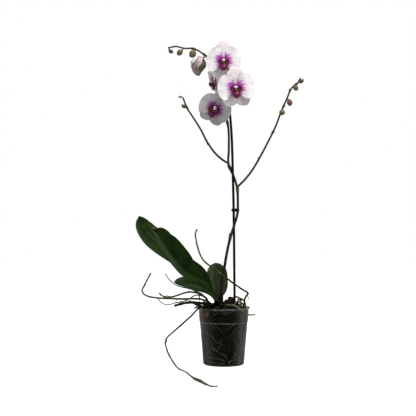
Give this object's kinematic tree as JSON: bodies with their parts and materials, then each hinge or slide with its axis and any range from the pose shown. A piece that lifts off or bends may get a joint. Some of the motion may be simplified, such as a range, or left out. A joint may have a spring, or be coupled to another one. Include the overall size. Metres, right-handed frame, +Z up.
{
  "type": "potted orchid",
  "caption": "Potted moth orchid with a branched, staked flower spike, broad leaves and aerial roots, in a clear round pot that rests on its flat foot.",
  "frame": {"origin": "centre of the pot's flat foot, on the surface that the pot stands on", "axes": "+Z up along the pot's axis and the stake, -Y the way the flowers face"},
  "size_m": [0.3872, 0.3742, 0.7258],
  "materials": {
    "clear_pot": "clear thin-walled plastic, slightly scuffed",
    "bark": "dark damp bark chips",
    "red_bark": "reddish bark chunk",
    "black_plastic": "black satin plastic",
    "leaf": "dark green waxy leaf with a pale midrib",
    "stem": "olive green stem, purplish brown at its base",
    "dry_leaf": "dead tan leaf scrap",
    "green_root": "plump green root",
    "brown_root": "dry brown root",
    "grey_root": "grey-green root with a silvery papery skin",
    "petal": "white petal with a magenta flush at its base",
    "lip": "dark maroon lip with a velvety sheen",
    "bud": "olive to reddish brown bud"
  },
  "bodies": {
    "root": {"bark_chip_dark": "bark", "bark_chip_rear": "bark", "bark_chip_red": "red_bark", "bark_mix": "bark", "bud_second": "bud", "bud_third": "bud", "bud_tip": "bud", "crown": "leaf", "dry_leaf_scrap": "dry_leaf", "flower_low_dorsal_sepal": "petal", "flower_low_left_petal": "petal", "flower_low_left_sepal": "petal", "flower_low_lip": "lip", "flower_low_right_petal": "petal", "flower_low_right_sepal": "petal", "flower_right_dorsal_sepal": "petal", "flower_right_left_petal": "petal", "flower_right_left_sepal": "petal", "flower_right_lip": "lip", "flower_right_right_petal": "petal", "flower_right_right_sepal": "petal", "flower_spike": "stem", "flower_top_dorsal_sepal": "petal", "flower_top_left_petal": "petal", "flower_top_left_sepal": "petal", "flower_top_lip": "lip", "flower_top_right_petal": "petal", "flower_top_right_sepal": "petal", "leaf_back": "leaf", "leaf_front": "leaf", "leaf_low": "leaf", "leaf_rear": "leaf", "left_branch": "stem", "left_bud_end": "bud", "left_bud_side": "bud", "opening_bud": "petal", "pot": "clear_pot", "right_branch": "stem", "right_bud_brown": "bud", "right_bud_end": "bud", "right_bud_high": "bud", "right_bud_low": "bud", "root_grey_twig": "grey_root", "root_long_left": "brown_root", "root_long_right": "grey_root", "root_mid_left": "grey_root", "root_over_rim": "grey_root", "root_pale_arch": "grey_root", "root_pale_hook": "grey_root", "root_thick_green": "green_root", "root_thin_loop": "brown_root", "root_trailing": "grey_root", "side_flower": "petal", "side_flower_lip": "lip", "stake": "black_plastic", "stem_clip": "black_plastic", "wall_root_left": "grey_root", "wall_root_right": "grey_root", "wall_root_upper": "grey_root"}
  },
  "joints": []
}
